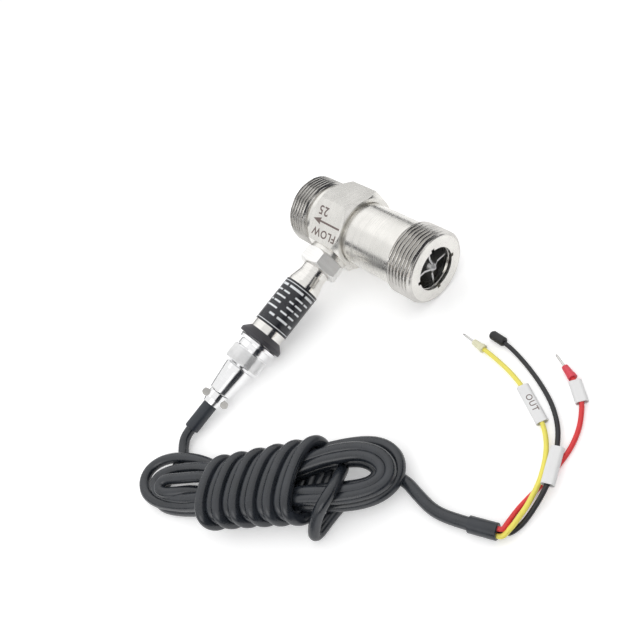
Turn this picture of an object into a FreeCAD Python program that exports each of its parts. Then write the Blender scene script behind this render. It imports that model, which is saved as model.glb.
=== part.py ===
import FreeCAD
import Part
import os
from math import acos, cos, pi, radians, sin, sqrt, tan

# Turbine flow meter, nominal bore 25 mm, with a screwed-in pulse pickup, a plugged lead and its
# cable. Millimetres. The meter is built about its own axes: x is the flow axis, from the outlet
# towards the inlet, z is the pickup's axis, and they cross at the rotor's middle. It is then laid
# down on its side, as it rests, on a lower corner of the block, the inlet thread and the gasket rim.

# Body: one turned and milled piece
INLET_FACE = 66.5          # from the pickup's axis to the inlet face
OUTLET_FACE = 33.5         # from the pickup's axis to the outlet face
THREAD_R = 20.955          # crest radius of the 1-1/4 inch pipe thread
THREAD_END_R = 19.5        # radius of the end face outside the end chamfer
INLET_THREAD = 18.2        # threaded length, chamfer included
OUTLET_THREAD = 15.0
THREAD_RUNUP = 1.2         # cone at the inner end of a thread
BARREL_R = 18.9
HEX_FLATS = 43.0           # across flats of the block
HEX_INLET = 12.8           # the block's end towards the inlet
HEX_OUTLET = 13.2
HEX_CHAMFER = 3.4          # length of the turned cones on the block's ends
RELIEF_WIDTH = 1.3         # groove between block and barrel
RELIEF_DEPTH = 0.7
BORE_R = 12.5
SLOT_DEPTH = 1.5           # broached slots that hold the vanes
SLOT_WIDTH = 2.2
SLOT_STOP = 10.0           # the slots end this far from the pickup's axis
VANE_ANGLE = 73.0          # first vane from the y axis
VANE_COUNT = 4
RING_SETBACK = 2.6         # snap ring's middle behind each end face
RING_WIRE = 1.6
RING_SINK = 0.35           # how far the ring's wire centre lies outside the bore's wall
RING_GAP = 44.0            # opening of the snap ring, degrees
RING_OPENS_AT = 220.0      # middle of that opening, from the y axis
BOSS_R = 11.8              # round seat under the lock nut
BOSS_TOP = 24.0
PICKUP_HOLE_FLOOR = 14.0

# Running parts
HUB_R = 6.5                # rear end of the straightener hubs and the rotor's hub
HUB_FRONT_R = 3.1
NOSE_LENGTH = 4.0
VANE_THICKNESS = 1.2
FOOT_PLAY = 0.05           # each side of a vane's foot in its slot
VANE_SETBACK = 3.6         # vane's outer front corner behind the end face
VANE_SWEEP = 1.8           # its inner front corner lies this much further out
ROTOR_LENGTH = 14.0
ROTOR_TIP_GAP = 0.4
BLADE_COUNT = 6
BLADE_LENGTH = 12.0
BLADE_THICKNESS = 1.1
BLADE_TWIST = 52.0         # over the blade's length, degrees
SHAFT_R = 1.5
SHAFT_PLAY = 0.04          # radial, in the bushes
BUSH_R = 3.0
BUSH_LENGTH = 8.0
END_PLAY = 0.3             # between a bush and the rotor
SHAFT_END_PLAY = 0.6

# Pickup
NOSE_R = 8.0               # crest radius of its thread
THREAD_PLAY = 0.05
PICKUP_TIP_PLAY = 0.2
NECK_R = 8.6
NECK_START = 34.0
SHOULDER_START = 38.0
SHOULDER_END = 45.0
CASE_R = 10.4
CASE_TOP = 82.0
CASE_FLOOR = 1.2
COIL_ROOM_R = 6.7
BOARD_ROOM_R = 9.0
BOARD_ROOM_START = 41.0
LABEL_R = 10.8
LABEL_START = 47.4
LABEL_MARGIN = 4.8         # bare case above the label
LABEL_END = CASE_TOP - LABEL_MARGIN
SEAT = 0.1                 # small clearance between pieces that rest in each other
NUT_FLATS = 23.2
NUT_HEIGHT = 9.4
MAGNET_R = 3.0
MAGNET_LENGTH = 9.0
COIL_R = 6.3
COIL_LENGTH = 14.0
COIL_FLANGE = 1.2
WINDING_R = 5.6
BOARD_WIDTH = 11.6
BOARD_THICKNESS = 1.6
BOARD_LENGTH = 38.0

# Connector and plug
GASKET_R = 13.8
GASKET_CONE = 3.2
GASKET_HEIGHT = 6.0
SOCKET_R = 7.9             # crest radius of the socket's thread
SOCKET_WALL = 1.3
SOCKET_LENGTH = 14.0       # above the gasket's underside
SOCKET_TAIL = 9.0          # below it, inside the case
SOCKET_FLANGE = 2.0
RING_FRONT_R = 12.2        # coupling ring's plain rim
RING_RIM = 3.0
RING_NECK_R = 10.3
RING_NECK = 4.2
RING_R = 11.0              # over its knurled band
RING_LENGTH = 17.6
RING_LIP = 2.4
RING_LIP_R = 7.4
RING_PLAY = 0.3            # between the gasket and the ring
SHELL_LIFT = 16.4          # plug shell's inner end, above the case
SHELL_START = CASE_TOP + SHELL_LIFT
SHELL_COLLAR_R = 7.8
SHELL_STEM_R = 7.3
SHELL_R = 9.0
SHELL_END_R = 7.1
SHELL_LENGTH = 26.0
SHELL_END = SHELL_START + SHELL_LENGTH
SHELL_WALL = 1.4
PIN_COUNT = 4
PIN_R = 0.6
PIN_CIRCLE_R = 2.9
INSERT_LENGTH = 8.0
INSERT_GAP = 0.4           # between the two insulators
CLAMP_GAP = 0.4            # between the shell and the clamp
CLAMP_LENGTH = 7.8
CLAMP_R = 6.2
CLAMP_SPLIT = 0.8
CLAMP_EAR = 8.9            # half the clamp's width over its ears
CLAMP_EAR_HEIGHT = 3.6
CLAMP_TURN = 48.0          # screws' axes, from the flow axis
SCREW_R = 1.25
SCREW_HEAD_R = 2.2
SCREW_HEAD = 1.3
SCREW_OFFSET = 6.4
SCREW_SLOT = 0.5
SLEEVE_R = 4.3
SLEEVE_LIFT = 1.6          # sleeve's inner end, past the shell
SLEEVE_LENGTH = 24.5
SLEEVE_START = SHELL_END + SLEEVE_LIFT
SLEEVE_END = SLEEVE_START + SLEEVE_LENGTH

# Cable and wires
CABLE_R = 3.0
CABLE_INSIDE = 12.4        # its length inside the plug's shell
CABLE_START = SHELL_END - CABLE_INSIDE
JACKET_SLEEVE_R = 3.8
JACKET_SLEEVE_LENGTH = 12.5
JACKET_SLEEVE_PLUG = 5.8   # length past the cable's end, filled round the wires
WIRE_R = 1.15
WIRE_SPREAD = 1.75         # wires' centres from the cable's
MARKER_WIDE_R = 3.0        # flattened marker sleeve, half its width
MARKER_WALL = 0.45
COLLAR_R = 1.9
COLLAR_MOUTH_R = 2.2
COLLAR_LENGTH = 7.2
COLLAR_TIP = 1.0           # its length past the wire's end
PIN_TIP_R = 0.6
PIN_TIP_LENGTH = 8.0
BOOT_R = 2.4
BOOT_LENGTH = 9.0

# Routes on the surface that the meter lies on, in the laid-down frame
LEAD_STRAIGHT = 5.2        # the cable leaves its sleeve straight for this length
LEAD_ROUTE = [(-14.0, -96.6, 3.4), (-10.0, -100.4, 3.3), (-6.2, -103.4, 4.4)]
HANK_MIDDLE = (41.4, -77.2)
HANK_TURN = 39.5           # its length, from the x axis
TAIL_ROUTE = [(99.0, -35.5, 4.4), (108.5, -34.5, 4.8), (118.5, -35.5, 4.1), (129.0, -35.9, 3.4),
              (139.5, -33.0, 3.8)]
JACKET_END = (154.7, -26.8, 3.8)
JACKET_TURN = 22.2         # direction of the jacket's end, from the x axis
WIRE_STRAIGHT = 2.2        # each wire leaves the jacket straight for this length
YELLOW_ROUTE = [(159.0, -24.9, 4.5), (159.2, -20.3, 4.8), (158.4, -13.3, 4.8),
                (156.8, -5.8, 4.4), (154.2, 2.2, 3.5), (150.6, 10.2, 2.7), (146.3, 17.8, 1.9),
                (140.0, 24.9, 1.6), (130.6, 31.0, 1.6), (119.9, 36.2, 1.6), (111.2, 39.4, 1.4),
                (102.2, 41.6, 1.5), (93.6, 43.0, 2.2), (86.3, 44.0, 2.2)]
YELLOW_MARKER = [(139.4, 25.3, 1.6), (120.9, 35.9, 1.6)]
BLACK_ROUTE = [(159.8, -21.8, 2.0), (161.0, -16.8, 2.2), (161.3, -10.8, 3.2),
               (160.9, -5.0, 4.6), (159.5, 1.5, 5.0), (156.5, 10.2, 4.5), (152.2, 18.3, 3.7),
               (146.8, 26.8, 2.3), (138.8, 34.4, 1.5), (129.9, 40.0, 1.25), (120.3, 44.7, 1.25),
               (109.2, 49.0, 1.4), (99.6, 51.4, 2.4), (91.0, 52.2, 2.4)]
BLACK_MARKER = [(159.3, 1.5, 5.0), (152.4, 18.3, 3.7)]
RED_ROUTE = [(156.6, -21.4, 4.6), (155.1, -16.6, 2.8), (154.3, -10.5, 1.4),
             (155.1, -3.5, 1.25), (156.2, 4.0, 1.25), (156.6, 13.0, 1.25), (156.2, 22.3, 1.3),
             (154.1, 31.0, 1.4), (151.0, 37.6, 1.5), (147.6, 43.2, 1.6), (143.0, 47.7, 1.6),
             (137.6, 51.3, 2.2), (132.2, 54.0, 2.2)]
RED_MARKER = [(147.9, 42.9, 1.6), (139.2, 50.4, 1.6)]
RED_WIRE_AT = 60.0         # places of the wires in the jacket's end, from its left side upwards
YELLOW_WIRE_AT = 180.0
BLACK_WIRE_AT = 300.0

# Outer shape of the hank: a flat ring of strands with a wound band round its middle
HANK_RING_HALF = 60.0      # from its middle to the centre of each round end
HANK_RING_R = 12.0         # radius of the strands' middle line at the ends
HANK_RING_SHIFT = 2.5      # sideways, towards the wound band's fuller side
HANK_RING_WIDE = 6.5       # half the width of the bundle of strands
HANK_RING_HIGH = 8.0       # and half its height
BAND_START = -24.0
BAND_END = 35.0
BAND_SHIFT = 8.0
BAND_WIDE = 21.5
BAND_HIGH = 11.5
HOOK_TOP = (50.0, 5.0, 17.0)
HOOK_END = (38.5, 28.0, 5.0)
HOOK_R = 4.2

ARC_SHARE = 0.45           # of the shorter run beside a bend, taken by its arc

os.makedirs("parts", exist_ok=True)
V = FreeCAD.Vector
X_AXIS = V(1, 0, 0)
Y_AXIS = V(0, 1, 0)
Z_AXIS = V(0, 0, 1)
ORIGIN = V(0, 0, 0)


def face_of(points):
    """A flat face inside a closed outline."""
    return Part.Face(Part.makePolygon([*points, points[0]]))


def turned(outline, axis):
    """A solid of revolution from (station along the axis, radius) points."""
    if axis == "x":
        points = [V(station, radius, 0) for station, radius in outline]
        return face_of(points).revolve(ORIGIN, X_AXIS, 360)
    points = [V(radius, 0, station) for station, radius in outline]
    return face_of(points).revolve(ORIGIN, Z_AXIS, 360)


def disc(radius, start, end, axis="z"):
    """A cylinder on the flow axis or the pickup's axis, between two stations."""
    direction = X_AXIS if axis == "x" else Z_AXIS
    return Part.makeCylinder(radius, end - start, direction * start, direction)


def hexagon(flats, start, end, axis, chamfer):
    """A hexagonal bar with a flat square to z (on x) or to y (on z), and turned cones at its ends."""
    corner = flats / sqrt(3)
    angles = [radians(60 * side) for side in range(6)]
    depth = corner - flats / 2
    outline = [(start, 0), (start, corner - depth), (start + chamfer, corner)]
    outline += [(end - chamfer, corner), (end, corner - depth), (end, 0)]
    if axis == "x":
        points = [V(start, corner * cos(a), corner * sin(a)) for a in angles]
    else:
        points = [V(corner * cos(a), corner * sin(a), start) for a in angles]
    direction = X_AXIS if axis == "x" else Z_AXIS
    bar = face_of(points).extrude(direction * (end - start))
    return bar.common(turned(outline, axis))


def around(shape, count, axis, first=0.0):
    """Copies of a shape, evenly spaced about an axis."""
    copies = []
    for number in range(count):
        copy = shape.copy()
        copy.rotate(ORIGIN, axis, first + 360.0 * number / count)
        copies.append(copy)
    return copies


def radial_bar(x_low, x_high, r_low, r_high, width):
    """A bar that stands on the flow axis and points along y."""
    return Part.makeBox(x_high - x_low, r_high - r_low, width, V(x_low, r_low, -width / 2))


def meter_body():
    """The block, barrel and thread bands with the flow bore, slots, ring grooves and pickup hole."""
    inlet_in = INLET_FACE - INLET_THREAD
    outlet_in = -OUTLET_FACE + OUTLET_THREAD
    chamfer = THREAD_R - THREAD_END_R
    outline = [(-OUTLET_FACE, 0), (-OUTLET_FACE, THREAD_END_R), (-OUTLET_FACE + chamfer, THREAD_R)]
    outline += [(outlet_in - THREAD_RUNUP, THREAD_R), (outlet_in, BARREL_R), (0, BARREL_R)]
    outline += [(HEX_INLET, BARREL_R - RELIEF_DEPTH), (HEX_INLET + RELIEF_WIDTH, BARREL_R - RELIEF_DEPTH)]
    outline += [(HEX_INLET + RELIEF_WIDTH, BARREL_R), (inlet_in, BARREL_R)]
    outline += [(inlet_in + THREAD_RUNUP, THREAD_R), (INLET_FACE - chamfer, THREAD_R)]
    outline += [(INLET_FACE, THREAD_END_R), (INLET_FACE, 0)]
    block = hexagon(HEX_FLATS, -HEX_OUTLET, HEX_INLET, "x", HEX_CHAMFER)
    body = turned(outline, "x").fuse([block, disc(BOSS_R, 0, BOSS_TOP)])
    cuts = [disc(BORE_R, -OUTLET_FACE, INLET_FACE, "x"), disc(NOSE_R, PICKUP_HOLE_FLOOR, BOSS_TOP)]
    bottom = BORE_R + SLOT_DEPTH
    for low, high in ((SLOT_STOP, INLET_FACE), (-OUTLET_FACE, -SLOT_STOP)):
        slot = radial_bar(low, high, BORE_R / 2, bottom, SLOT_WIDTH)
        cuts += around(slot, VANE_COUNT, X_AXIS, VANE_ANGLE)
    for middle in (INLET_FACE - RING_SETBACK, RING_SETBACK - OUTLET_FACE):
        groove_r = BORE_R + RING_SINK + RING_WIRE / 2
        cuts.append(disc(groove_r, middle - RING_WIRE / 2, middle + RING_WIRE / 2, "x"))
    return body.cut(cuts).removeSplitter()


def snap_ring(face, side):
    """A round-wire snap ring, open over part of its turn, in the groove behind an end face."""
    middle = face - side * RING_SETBACK
    radius = BORE_R + RING_SINK
    section = Part.Wire(Part.makeCircle(RING_WIRE / 2 - SEAT / 2, V(middle, radius, 0), Z_AXIS))
    ring = Part.Face(section).revolve(ORIGIN, X_AXIS, 360 - RING_GAP)
    ring.rotate(ORIGIN, X_AXIS, RING_OPENS_AT + RING_GAP / 2)
    return ring


def straightener(face, side):
    """A pointed hub with straight vanes, their feet in the body's slots, built for one end."""
    nose = face * side
    front = nose - VANE_SETBACK
    back = SLOT_STOP + SEAT
    outline = [(back, BUSH_R), (back, HUB_R - 0.6), (back + 0.6, HUB_R), (back + 5, HUB_R)]
    outline += [(nose - NOSE_LENGTH, HUB_FRONT_R), (nose - NOSE_LENGTH / 2, HUB_FRONT_R * 0.72)]
    outline += [(nose - 0.4, 0.6), (nose - 0.1, 0)]
    bush_floor = back + BUSH_LENGTH - (SLOT_STOP - ROTOR_LENGTH / 2 - END_PLAY)
    outline += [(bush_floor, 0), (bush_floor, BUSH_R)]
    hub = turned(outline, "x")
    tip = BORE_R + SLOT_DEPTH - SEAT
    half = VANE_THICKNESS / 2
    blade_outline = [V(back, HUB_R / 2 + BUSH_R / 2, -half), V(back, tip, -half)]
    blade_outline += [V(front, tip, -half), V(front, BORE_R * 0.4, -half)]
    blade_outline += [V(front + VANE_SWEEP, HUB_FRONT_R * 0.5, -half)]
    blade_outline += [V(front - 8, HUB_FRONT_R * 0.5, -half)]
    blade = face_of(blade_outline).extrude(Z_AXIS * VANE_THICKNESS)
    foot = radial_bar(back, front - RING_WIRE / 2, BORE_R - 0.4, tip, SLOT_WIDTH - 2 * FOOT_PLAY)
    vane = blade.fuse(foot)
    piece = hub.fuse(around(vane, VANE_COUNT, X_AXIS, VANE_ANGLE)).removeSplitter()
    if side < 0:
        piece.rotate(ORIGIN, Z_AXIS, 180)
        piece.rotate(ORIGIN, X_AXIS, 2 * VANE_ANGLE - 180)
    return piece


def bush(side):
    """A plain bearing bush in the end of a straightener's hub."""
    start = ROTOR_LENGTH / 2 + END_PLAY
    outline = [(start, SHAFT_R + SHAFT_PLAY), (start, BUSH_R - 0.5), (start + 0.5, BUSH_R)]
    outline += [(start + BUSH_LENGTH, BUSH_R), (start + BUSH_LENGTH, SHAFT_R + SHAFT_PLAY)]
    piece = turned(outline, "x")
    if side < 0:
        piece.rotate(ORIGIN, Z_AXIS, 180)
    return piece


def rotor():
    """The bladed wheel: helical blades lofted between turned stations, on a bored hub."""
    half = ROTOR_LENGTH / 2
    tip = BORE_R - ROTOR_TIP_GAP
    outline = [(-half, SHAFT_R), (-half, HUB_R - 1), (1 - half, HUB_R), (half - 1, HUB_R)]
    outline += [(half, HUB_R - 1), (half, SHAFT_R)]
    hub = turned(outline, "x")
    stations = 5
    wires = []
    for number in range(stations):
        share = number / (stations - 1)
        x = BLADE_LENGTH * (share - 0.5)
        turn = BLADE_TWIST * (share - 0.5)
        t = BLADE_THICKNESS / 2
        corners = [V(x, HUB_R - 1, -t), V(x, tip + 1, -t), V(x, tip + 1, t), V(x, HUB_R - 1, t)]
        wire = Part.makePolygon([*corners, corners[0]])
        wire.rotate(ORIGIN, X_AXIS, turn)
        wires.append(wire)
    blade = Part.makeLoft(wires, True, False).common(disc(tip, -half, half, "x"))
    return hub.fuse(around(blade, BLADE_COUNT, X_AXIS)).removeSplitter()


def rotor_shaft():
    """The hard shaft, with coned ends that run in the bushes."""
    half = ROTOR_LENGTH / 2 + END_PLAY + BUSH_LENGTH - SHAFT_END_PLAY
    cone = 0.8
    outline = [(-half, 0), (-half, SHAFT_R - 0.6), (cone - half, SHAFT_R)]
    outline += [(half - cone, SHAFT_R), (half, SHAFT_R - 0.6), (half, 0)]
    return turned(outline, "x")


def lock_nut():
    """The hexagon nut that holds the pickup against its seat on the block."""
    nut = hexagon(NUT_FLATS, BOSS_TOP, BOSS_TOP + NUT_HEIGHT, "z", 1.3)
    return nut.cut(disc(NOSE_R, BOSS_TOP, BOSS_TOP + NUT_HEIGHT))


def pickup_floor():
    """Station of the pickup's outer end, at the bottom of its hole."""
    return PICKUP_HOLE_FLOOR + PICKUP_TIP_PLAY


def pickup_case():
    """The pickup's turned steel case: threaded nose, neck, shoulder and hollow body."""
    thread = NOSE_R - THREAD_PLAY
    foot = pickup_floor()
    outline = [(foot, 0), (foot, thread - 0.8), (foot + 0.8, thread), (NECK_START, thread)]
    outline += [(NECK_START, NECK_R), (SHOULDER_START, NECK_R), (SHOULDER_END, CASE_R)]
    outline += [(CASE_TOP, CASE_R), (CASE_TOP, BOARD_ROOM_R), (BOARD_ROOM_START, BOARD_ROOM_R)]
    outline += [(BOARD_ROOM_START - 3, COIL_ROOM_R), (foot + CASE_FLOOR, COIL_ROOM_R)]
    outline += [(foot + CASE_FLOOR, 0)]
    return turned(outline, "z")


def pickup_magnet():
    """The bar magnet behind the case's end wall."""
    start = pickup_floor() + CASE_FLOOR + SEAT
    return disc(MAGNET_R, start, start + MAGNET_LENGTH)


def pickup_coil():
    """The wound bobbin round the magnet."""
    start = pickup_floor() + CASE_FLOOR + SEAT
    inner = MAGNET_R + SEAT
    end = start + COIL_LENGTH
    outline = [(start, inner), (start, COIL_R), (start + COIL_FLANGE, COIL_R)]
    outline += [(start + COIL_FLANGE, WINDING_R), (end - COIL_FLANGE, WINDING_R)]
    outline += [(end - COIL_FLANGE, COIL_R), (end, COIL_R), (end, inner)]
    return turned(outline, "z")


def amplifier_board():
    """The circuit board that stands on the bobbin, with its larger components."""
    start = pickup_floor() + CASE_FLOOR + COIL_LENGTH + 2 * SEAT
    low = V(-BOARD_WIDTH / 2, -BOARD_THICKNESS / 2, start)
    board = Part.makeBox(BOARD_WIDTH, BOARD_THICKNESS, BOARD_LENGTH, low)
    top = BOARD_THICKNESS / 2
    chip = Part.makeBox(4, 1.4, 5, V(-2, top, start + 14))
    regulator = Part.makeBox(6, 1.8, 4, V(-3, top, start + 24))
    capacitor = Part.makeCylinder(1.8, 3, V(0, top, start + 33), Y_AXIS)
    return board.fuse([chip, regulator, capacitor])


def label_sleeve():
    """The shrunk label round the case."""
    outline = [(LABEL_START, CASE_R), (LABEL_START, LABEL_R), (LABEL_END, LABEL_R), (LABEL_END, CASE_R)]
    return turned(outline, "z")


def flange_gasket():
    """The black seat between case and connector, coned towards the case."""
    top = CASE_TOP + GASKET_HEIGHT
    outline = [(CASE_TOP, SOCKET_R), (CASE_TOP, CASE_R), (CASE_TOP + GASKET_CONE, GASKET_R - 0.3)]
    outline += [(CASE_TOP + GASKET_CONE + 0.3, GASKET_R), (top - 0.4, GASKET_R)]
    outline += [(top, GASKET_R - 0.4), (top, SOCKET_R)]
    return turned(outline, "z")


def connector_socket():
    """The threaded metal socket that closes the case, with a flange inside it."""
    tail = CASE_TOP - SOCKET_TAIL
    inner = SOCKET_R - SOCKET_WALL
    outline = [(tail, inner), (tail, SOCKET_R), (CASE_TOP - SOCKET_FLANGE, SOCKET_R)]
    outline += [(CASE_TOP - SOCKET_FLANGE, BOARD_ROOM_R), (CASE_TOP, BOARD_ROOM_R)]
    outline += [(CASE_TOP, SOCKET_R), (CASE_TOP + SOCKET_LENGTH, SOCKET_R)]
    outline += [(CASE_TOP + SOCKET_LENGTH, inner)]
    return turned(outline, "z")


def socket_insert():
    """The insulator with the contact pins, pressed into the socket."""
    end = CASE_TOP + SOCKET_LENGTH - INSERT_LENGTH - INSERT_GAP
    body = disc(SOCKET_R - SOCKET_WALL, end - INSERT_LENGTH, end)
    pin = Part.makeCylinder(PIN_R, INSERT_LENGTH + 6, V(PIN_CIRCLE_R, 0, end - INSERT_LENGTH - 1))
    return body.fuse(around(pin, PIN_COUNT, Z_AXIS, 45))


def plug_insert():
    """The plug's insulator, with holes that the contact pins enter."""
    start = CASE_TOP + SOCKET_LENGTH - INSERT_LENGTH
    radius = SOCKET_R - SOCKET_WALL - SEAT
    inner = SHELL_STEM_R - SHELL_WALL
    body = disc(radius, start, SHELL_START).fuse(disc(inner, SHELL_START, SHELL_START + 5))
    hole = Part.makeCylinder(PIN_R + SEAT, INSERT_LENGTH, V(PIN_CIRCLE_R, 0, start))
    return body.cut(around(hole, PIN_COUNT, Z_AXIS, 45))


def ring_start():
    """Station of the coupling ring's rim."""
    return CASE_TOP + GASKET_HEIGHT + RING_PLAY


def coupling_ring():
    """The ring that screws the plug to the socket: plain rim, neck and a band for the knurl."""
    start = ring_start()
    end = start + RING_LENGTH
    neck_end = start + RING_RIM + RING_NECK
    outline = [(start, SOCKET_R + THREAD_PLAY), (start, RING_FRONT_R - 0.6), (start + 0.6, RING_FRONT_R)]
    outline += [(start + RING_RIM - 0.6, RING_FRONT_R), (start + RING_RIM, RING_NECK_R)]
    outline += [(neck_end - 0.8, RING_NECK_R), (neck_end, RING_R), (end - 1.2, RING_R)]
    outline += [(end, RING_R - 1.2), (end, RING_LIP_R), (end - RING_LIP, RING_LIP_R)]
    outline += [(end - RING_LIP, SOCKET_R + THREAD_PLAY)]
    return turned(outline, "z")


def plug_shell():
    """The tapered plug shell, held by the coupling ring over its collar."""
    ring_end = ring_start() + RING_LENGTH
    wall = SHELL_STEM_R - SHELL_WALL
    collar_end = ring_end - RING_LIP - SEAT
    outline = [(SHELL_START, wall), (SHELL_START, SHELL_COLLAR_R), (collar_end, SHELL_COLLAR_R)]
    outline += [(collar_end, SHELL_STEM_R), (ring_end + RING_PLAY, SHELL_STEM_R)]
    outline += [(ring_end + RING_PLAY, SHELL_R - 0.5), (ring_end + RING_PLAY + 0.5, SHELL_R)]
    outline += [(ring_end + 4, SHELL_R - 0.2), (SHELL_END - 0.4, SHELL_END_R), (SHELL_END, SHELL_END_R - 0.4)]
    outline += [(SHELL_END, SLEEVE_R + 0.4), (SHELL_END - 3, SLEEVE_R + 0.4), (SHELL_END - 6, wall)]
    return turned(outline, "z")


def clamp_start():
    """Station of the cable clamp's inner end."""
    return SHELL_END + CLAMP_GAP


def clamp_half(side):
    """One saddle of the cable clamp, with an ear for each screw."""
    start = clamp_start()
    end = start + CLAMP_LENGTH
    outline = [(start, 0), (start, CLAMP_R), (start + CLAMP_LENGTH * 0.6, CLAMP_R)]
    outline += [(end, CLAMP_R - 0.9), (end, 0)]
    barrel = turned(outline, "z")
    middle = start + CLAMP_LENGTH / 2 - CLAMP_EAR_HEIGHT / 2 - 0.3
    thick = CLAMP_EAR_HEIGHT
    ears = Part.makeBox(thick + 1, 2 * CLAMP_EAR, thick, V(-(thick + 1) / 2, -CLAMP_EAR, middle))
    ears = ears.makeFillet(1.2, [e for e in ears.Edges if abs(e.tangentAt(e.FirstParameter).x) > 0.9])
    whole = barrel.fuse(ears)
    far = 2 * CLAMP_EAR
    keep_low = V(CLAMP_SPLIT / 2, -far, start - 1) if side > 0 else V(-far - CLAMP_SPLIT / 2, -far, start - 1)
    keep = Part.makeBox(far, 2 * far, CLAMP_LENGTH + 2, keep_low)
    half = whole.common(keep).cut(disc(SLEEVE_R, start - 1, end + 1))
    for offset in (-SCREW_OFFSET, SCREW_OFFSET):
        hole = Part.makeCylinder(SCREW_R + SEAT / 2, 2 * far, V(-far, offset, middle + thick / 2), X_AXIS)
        half = half.cut(hole)
        if side > 0:
            seat = V((thick + 1) / 2, offset, middle + thick / 2)
            half = half.cut(Part.makeCylinder(SCREW_HEAD_R + SEAT, far, seat, X_AXIS))
    half.rotate(ORIGIN, Z_AXIS, CLAMP_TURN)
    return half.removeSplitter()


def clamp_screws():
    """The two slotted screws that draw the saddles together."""
    reach = (CLAMP_EAR_HEIGHT + 1) / 2
    station = clamp_start() + CLAMP_LENGTH / 2 - 0.3
    screws = []
    for offset in (-SCREW_OFFSET, SCREW_OFFSET):
        shank = Part.makeCylinder(SCREW_R, 2 * reach, V(-reach, offset, station), X_AXIS)
        head = Part.makeCylinder(SCREW_HEAD_R, SCREW_HEAD, V(reach, offset, station), X_AXIS)
        slot = Part.makeBox(SCREW_SLOT, 2 * SCREW_HEAD_R, SCREW_SLOT,
                            V(reach + SCREW_HEAD - SCREW_SLOT, offset - SCREW_HEAD_R, station - SCREW_SLOT / 2))
        screw = shank.fuse(head).cut(slot)
        screw.rotate(ORIGIN, Z_AXIS, CLAMP_TURN)
        screws.append(screw)
    return Part.makeCompound(screws)


def cable_sleeve():
    """The shrunk sleeve over the cable where the clamp grips it."""
    outline = [(SLEEVE_START, CABLE_R), (SLEEVE_START, SLEEVE_R), (SLEEVE_END - 0.4, SLEEVE_R)]
    outline += [(SLEEVE_END, SLEEVE_R - 0.4), (SLEEVE_END, CABLE_R)]
    return turned(outline, "z")


def lowest(direction, up):
    """Unit vector square to a shaft's direction that points down as steeply as it can."""
    down = up * -1 + direction * up.dot(direction)
    return down / down.Length


def resting_up():
    """The upward direction, in the meter's axes, when it lies on block, inlet thread and gasket."""
    corner = V(HEX_INLET - HEX_CHAMFER, -HEX_FLATS / sqrt(3), 0)
    thread_x = INLET_FACE - (THREAD_R - THREAD_END_R)
    rim_z = CASE_TOP + GASKET_HEIGHT - 0.4
    up = V(0, 1, 0)
    for _ in range(30):
        thread = X_AXIS * thread_x + lowest(X_AXIS, up) * THREAD_R
        rim = Z_AXIS * rim_z + lowest(Z_AXIS, up) * GASKET_R
        up = (rim - corner).cross(thread - corner)
        up = up / up.Length
    return up


def laid_down(pieces):
    """The placement that lays the meter down: flow axis over row x, lowest point at z = 0."""
    up = resting_up()
    right = X_AXIS - up * up.dot(X_AXIS)
    right = right / right.Length
    back = up.cross(right)
    turn = FreeCAD.Matrix(right.x, right.y, right.z, 0, back.x, back.y, back.z, 0, up.x, up.y, up.z, 0, 0, 0, 0, 1)
    lie = FreeCAD.Placement(turn)
    trial = Part.makeCompound(list(pieces.values()))
    trial.Placement = lie
    box = trial.optimalBoundingBox(False, False)
    middle = V((box.XMin + box.XMax) / 2, (box.YMin + box.YMax) / 2, box.ZMin)
    lie.Base = middle * -1
    return lie


def tube(route, radius, name):
    """A round cord: straight runs joined by tangent arcs as large as their runs allow."""
    points = [V(*point) for point in route]
    edges = []
    radii = []
    at = points[0]
    for before, corner, after in zip(points, points[1:], points[2:]):
        run_in = corner - before
        run_out = after - corner
        shorter = min(run_in.Length, run_out.Length)
        towards = run_in / run_in.Length
        away = run_out / run_out.Length
        half_turn = acos(max(-1.0, min(1.0, towards.dot(away)))) / 2
        reach = ARC_SHARE * shorter
        arc_start = corner - towards * reach
        arc_end = corner + away * reach
        arc_radius = reach / tan(half_turn)
        bisector = away - towards
        centre = corner + bisector / bisector.Length * (arc_radius / cos(half_turn))
        inward = corner - centre
        arc_middle = centre + inward / inward.Length * arc_radius
        edges.append(Part.LineSegment(at, arc_start).toShape())
        edges.append(Part.Arc(arc_start, arc_middle, arc_end).toShape())
        radii.append(round(arc_radius, 1))
        at = arc_end
    edges.append(Part.LineSegment(at, points[-1]).toShape())
    path = Part.Wire(edges)
    heading = points[1] - points[0]
    section = Part.Wire(Part.makeCircle(radius, points[0], heading))
    solid = path.makePipeShell([section], True, False)
    share = solid.Volume / (pi * radius * radius * path.Length)
    print(name, "length", round(path.Length, 1), "volume share", round(share, 4), "radii", radii)
    return solid


def aimed(shape, point, towards):
    """A shape built up z, moved to a point and aimed at another, its x axis kept level."""
    heading = towards - point
    heading = heading / heading.Length
    level = Z_AXIS.cross(heading)
    level = level / level.Length
    other = heading.cross(level)
    turn = FreeCAD.Matrix(level.x, other.x, heading.x, point.x, level.y, other.y, heading.y, point.y,
                          level.z, other.z, heading.z, point.z, 0, 0, 0, 1)
    shape.Placement = FreeCAD.Placement(turn)
    return shape


def flat_bar(flat, radius, length):
    """A bar up z with two flat sides and two round ones."""
    slab = Part.makeBox(2 * flat, 2 * radius, length, V(-flat, -radius, 0))
    sides = [Part.makeCylinder(radius, length, V(side * flat, 0, 0)) for side in (-1, 1)]
    return slab.fuse(sides).removeSplitter()


def marker(ends):
    """A flattened sleeve round a wire, between two points."""
    start = V(*ends[0])
    end = V(*ends[1])
    length = (end - start).Length
    flat = MARKER_WIDE_R - WIRE_R - MARKER_WALL
    sleeve = flat_bar(flat, WIRE_R + MARKER_WALL, length).cut(flat_bar(flat, WIRE_R, length))
    return aimed(sleeve, start, end)


def last_two(route):
    """The last two points of a route."""
    return V(*route[-2]), V(*route[-1])


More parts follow.
